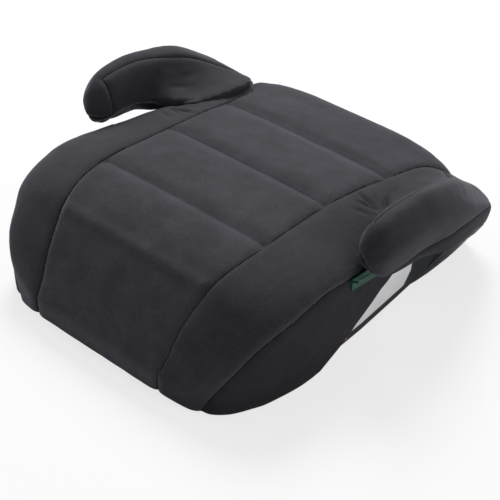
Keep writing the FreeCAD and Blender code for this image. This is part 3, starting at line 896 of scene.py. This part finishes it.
sewn_piece("cover_middle_quilted", seat_panels[1], COVER_CLOTH, ("cover_seat_panel", "seat_foam"))
# The rear takes the near-black cloth, part of whose darkness is painted shade.
sewn_piece("cover_rear", seat_panels[2], SKIRT_CLOTH_WITH_PAINTED_SHADE, ("cover_rear_panel",))
for k, hand in ((0, "right"), (1, "left")):
    arm = arm_panels[hand]
    # Sides and armrest bands take the near-black cloth, part of whose darkness is painted shade.
    sewn_piece("cover_side_" + hand, seat_panels[3 + k], SKIRT_CLOTH_WITH_PAINTED_SHADE, ("cover_skirt_" + hand,))
    # Edge rolls and armrest inner faces take the cloth darkened as painted shade.
    sewn_piece("cover_edge_roll_" + hand, joined([seat_panels[5 + k], arm[1]]), ROLL_CLOTH_PAINTED_SHADE,
               ("cover_bolster_" + hand,))
    sewn_piece("cover_arm_" + hand, arm[2], ROLL_CLOTH_PAINTED_SHADE, ("cover_armrest_" + hand, "armrest_foam_" + hand))
    sewn_piece("cover_arm_band_" + hand, arm[3], SKIRT_CLOTH_WITH_PAINTED_SHADE, ("cover_armrest_hem_" + hand,))

# Outer wall of the shell under the back of each armrest, from the floor up, on the right:
# place along Y, then X at the floor, X and Z half-way up, X and Z at the top.
WALL_SECTIONS = (
    (78.0, 160.0, 163.0, 30.0, 164.0, 62.0),
    (86.0, 161.0, 166.0, 30.0, 171.0, 64.0),
    (94.0, 162.5, 172.0, 30.0, 181.0, 65.0),
    (104.0, 163.5, 179.0, 30.0, 191.0, 64.5),
    (114.0, 164.5, 182.5, 30.0, 195.0, 62.5),
    (130.0, 165.0, 183.0, 29.0, 196.2, 60.0),
    (150.0, 165.0, 180.5, 26.0, 193.7, 55.5),
    (168.0, 164.0, 177.0, 22.0, 188.0, 48.0),
    (182.0, 161.5, 173.5, 19.0, 184.7, 42.0),
    (188.0, 156.0, 167.0, 18.0, 177.5, 40.0),
    (193.0, 144.0, 154.0, 17.5, 163.0, 39.0),
    (197.0, 124.0, 132.0, 17.0, 140.0, 38.0),
)


def side_wall(hand, side):
    """The moulded wall that carries an armrest, one smooth sheet with a turned-in foot."""
    bm = bmesh.new()
    rows = []
    for y in np.linspace(WALL_SECTIONS[0][0], WALL_SECTIONS[-1][0], 40):
        foot_x, mid_x, mid_z, top_x, top_z = (float(through(WALL_SECTIONS, k, y)) for k in range(1, 6))
        line = [(foot_x - 3.0, 0.4), (foot_x - 0.5, 0.5)]
        for t in np.linspace(0, 1, 13):
            x = (1 - t) ** 2 * foot_x + 2 * t * (1 - t) * (2 * mid_x - (foot_x + top_x) / 2) + t * t * top_x
            z = 1.5 + 2 * t * (1 - t) * (2 * mid_z - top_z / 2) + t * t * top_z
            line.append((x, z))
        rows.append([bm.verts.new(Vector((side * x, y, z)) * MM) for x, z in line])
    for near, far in zip(rows, rows[1:]):
        for i in range(len(near) - 1):
            bm.faces.new((near[i], near[i + 1], far[i + 1], far[i]))
    bmesh.ops.recalc_face_normals(bm, faces=bm.faces)
    outward = sum((f.normal.x for f in bm.faces)) * side
    if outward < 0:
        bmesh.ops.reverse_faces(bm, faces=bm.faces)
    mesh = mesh_from(bm, "side_wall")
    mesh.materials.append(SHELL_PLASTIC)
    piece = put("shell_side_wall_" + hand, mesh)
    thicken(piece, WALL_THICKNESS)
    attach(piece, "root")


side_wall("right", 1)
side_wall("left", -1)


def elastic_loops():
    """Four flat elastic loops round the shell's pegs, with rounded edges and a slight pinch."""
    low, high = node_box("cover_elastic_loops")
    half_width = high[0] - PEG_OFFSETS[-1]
    bm = bmesh.new()
    for middle_x in PEG_OFFSETS:
        rows = []
        for k in range(LOOP_STEPS):
            turn = 2 * math.pi * k / LOOP_STEPS
            straight = (high[2] - low[2]) / 2 - half_width
            across, up = math.cos(turn), math.sin(turn)
            pinch = 1 - 0.22 * math.exp(-((up * 1.4) ** 2) * 3)
            centre = Vector((middle_x + (half_width - 0.8) * across * pinch, 0,
                             (low[2] + high[2]) / 2 + (half_width - 0.8) * up + straight * math.tanh(3 * up)))
            out = Vector((across, 0, up)).normalized()
            row = []
            for n in range(BAND_STEPS):
                bend = 2 * math.pi * n / BAND_STEPS
                flat = math.copysign(abs(math.cos(bend)) ** 0.5, math.cos(bend)) * (LOOP_DEPTH / 2 - 0.1)
                thick = math.sin(bend) * 0.7
                spot = centre + out * thick + Vector((0, (low[1] + high[1]) / 2 + flat, 0))
                row.append(bm.verts.new(spot * MM))
            rows.append(row)
        for k, row in enumerate(rows):
            ahead = rows[(k + 1) % LOOP_STEPS]
            for n in range(BAND_STEPS):
                m = (n + 1) % BAND_STEPS
                bm.faces.new((row[n], row[m], ahead[m], ahead[n]))
    bmesh.ops.recalc_face_normals(bm, faces=bm.faces)
    mesh = mesh_from(bm, "elastic_loops")
    mesh.materials.append(ELASTIC)
    shade_smooth(mesh)
    piece = put("elastic_loops", mesh)
    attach(piece, "root")
    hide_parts("cover_elastic_loops")


elastic_loops()

for node_name, finish in (("seat_shell", SHELL_PLASTIC), ("belt_guide_left", GUIDE_PLASTIC),
                          ("belt_guide_right", GUIDE_PLASTIC), ("label_white_right", WHITE_FILM),
                          ("label_orange_right", ORANGE_FILM)):
    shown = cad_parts[node_name]
    for slot in shown.material_slots:
        slot.material = finish


# ---------------------------------------------------------------- floor, light and camera

def aim(thing, spot, target):
    """Stand a lamp or camera at a spot, looking at a target."""
    thing.location = spot
    thing.rotation_euler = (Vector(target) - Vector(spot)).to_track_quat("-Z", "Y").to_euler()


def soft_lamp(name, spot, size, power):
    """A large soft lamp aimed at the seat."""
    data = bpy.data.lights.new(name, "AREA")
    data.shape = "DISK"
    data.size = size
    data.energy = power
    aim(put(name, data), spot, (0, 0, 0.05))


PAPER_GLOW = 0.74            # share of the floor's own white in what the camera sees of it
SKY_STRENGTH = 0.33          # light from all round
floor_mesh = bpy.data.meshes.new("floor")
floor_mesh.from_pydata([(-6, -6, 0), (6, -6, 0), (6, 6, 0), (-6, 6, 0)], [], [(0, 1, 2, 3)])
floor = put("floor", floor_mesh)
paper, tree, output = new_finish("white_studio_paper")
ray = add(tree, "ShaderNodeLightPath").outputs["Is Camera Ray"]
matt = add(tree, "ShaderNodeBsdfDiffuse", {"Color": (0.86, 0.86, 0.87, 1)})
glow = add(tree, "ShaderNodeEmission", {"Color": (1, 1, 1, 1), "Strength": 1.0})
share = add(tree, "ShaderNodeMath", {0: ray, 1: PAPER_GLOW}, operation="MULTIPLY")
mixed = add(tree, "ShaderNodeMixShader", {0: share.outputs[0], 1: matt.outputs[0], 2: glow.outputs[0]})
tree.links.new(mixed.outputs[0], output.inputs[0])
floor_mesh.materials.append(paper)

world = bpy.data.worlds.new("studio")
bpy.context.scene.world = world
world.use_nodes = True
tree = world.node_tree
tree.nodes.clear()
ray = add(tree, "ShaderNodeLightPath").outputs["Is Camera Ray"]
sky = add(tree, "ShaderNodeBackground", {"Color": (1, 1, 1, 1), "Strength": SKY_STRENGTH})
white = add(tree, "ShaderNodeBackground", {"Color": (1, 1, 1, 1), "Strength": 1.0})
mixed = add(tree, "ShaderNodeMixShader", {0: ray, 1: sky.outputs[0], 2: white.outputs[0]})
output = add(tree, "ShaderNodeOutputWorld", {0: mixed.outputs[0]})

soft_lamp("key_lamp", (-1.1, 1.5, 2.2), 1.3, 78)
soft_lamp("left_fill_lamp", (-2.2, -0.5, 1.0), 1.6, 12)
soft_lamp("right_fill_lamp", (2.2, 0.1, 0.55), 1.6, 14)

# Camera: angles round and above the seat, distance in metres, and the point it looks at
AZIMUTH, ELEVATION, DISTANCE = math.radians(41.18), math.radians(38.53), 1.37386
TARGET = Vector((0.0, 0.02295, -0.0004))
back = Vector((math.sin(AZIMUTH) * math.cos(ELEVATION), -math.cos(AZIMUTH) * math.cos(ELEVATION),
               math.sin(ELEVATION)))
lens = bpy.data.cameras.new("camera")
lens.lens = 93.6
lens.sensor_width = 36.0
camera = put("camera", lens)
aim(camera, TARGET + back * DISTANCE, TARGET)
bpy.context.scene.camera = camera
bpy.context.scene.view_settings.view_transform = "Standard"
